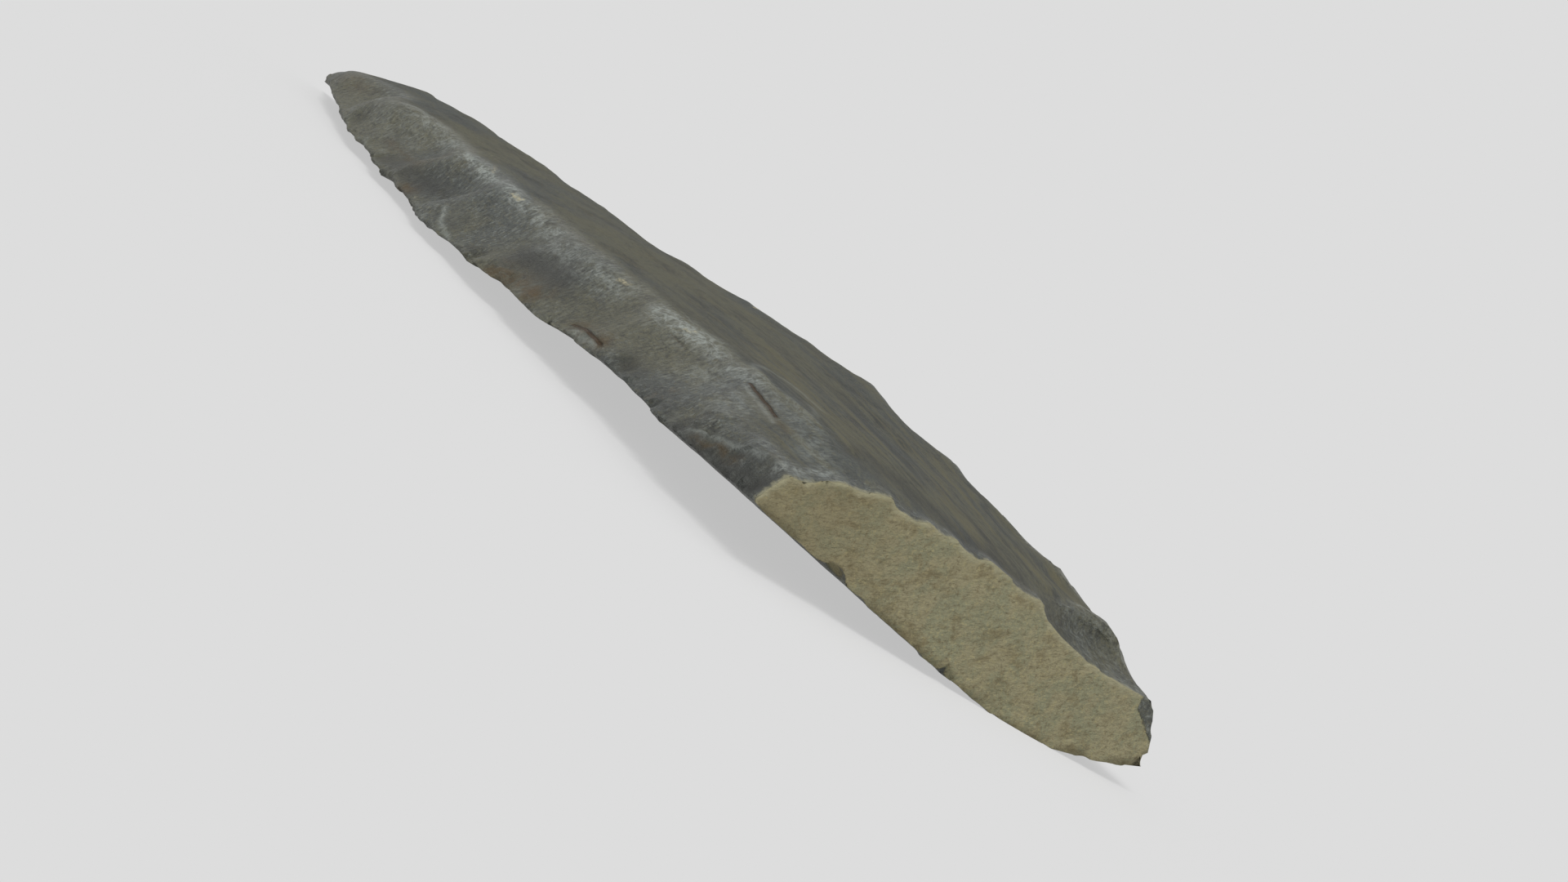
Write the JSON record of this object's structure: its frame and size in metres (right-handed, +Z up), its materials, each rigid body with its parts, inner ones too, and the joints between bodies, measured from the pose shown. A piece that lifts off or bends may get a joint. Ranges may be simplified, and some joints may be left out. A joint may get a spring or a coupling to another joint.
{
  "type": "pointed stone blade",
  "caption": "Long pointed blade of flaked dark stone, flat below and ridged above, with scalloped edges and a square snapped end.",
  "frame": {"origin": "below the middle of the blade's length and width, on the surface that it lies on", "axes": "+X towards the point, +Y towards the steep margin, +Z up from the underside to the ridged back"},
  "size_m": [0.1236, 0.0386, 0.0114],
  "materials": {
    "flaked_stone": "dark blue-grey weathered skin with a low sheen, pale worn ridges and a matt tan-olive fresh snap"
  },
  "bodies": {
    "root": {"stone_blade": "flaked_stone"}
  },
  "joints": []
}
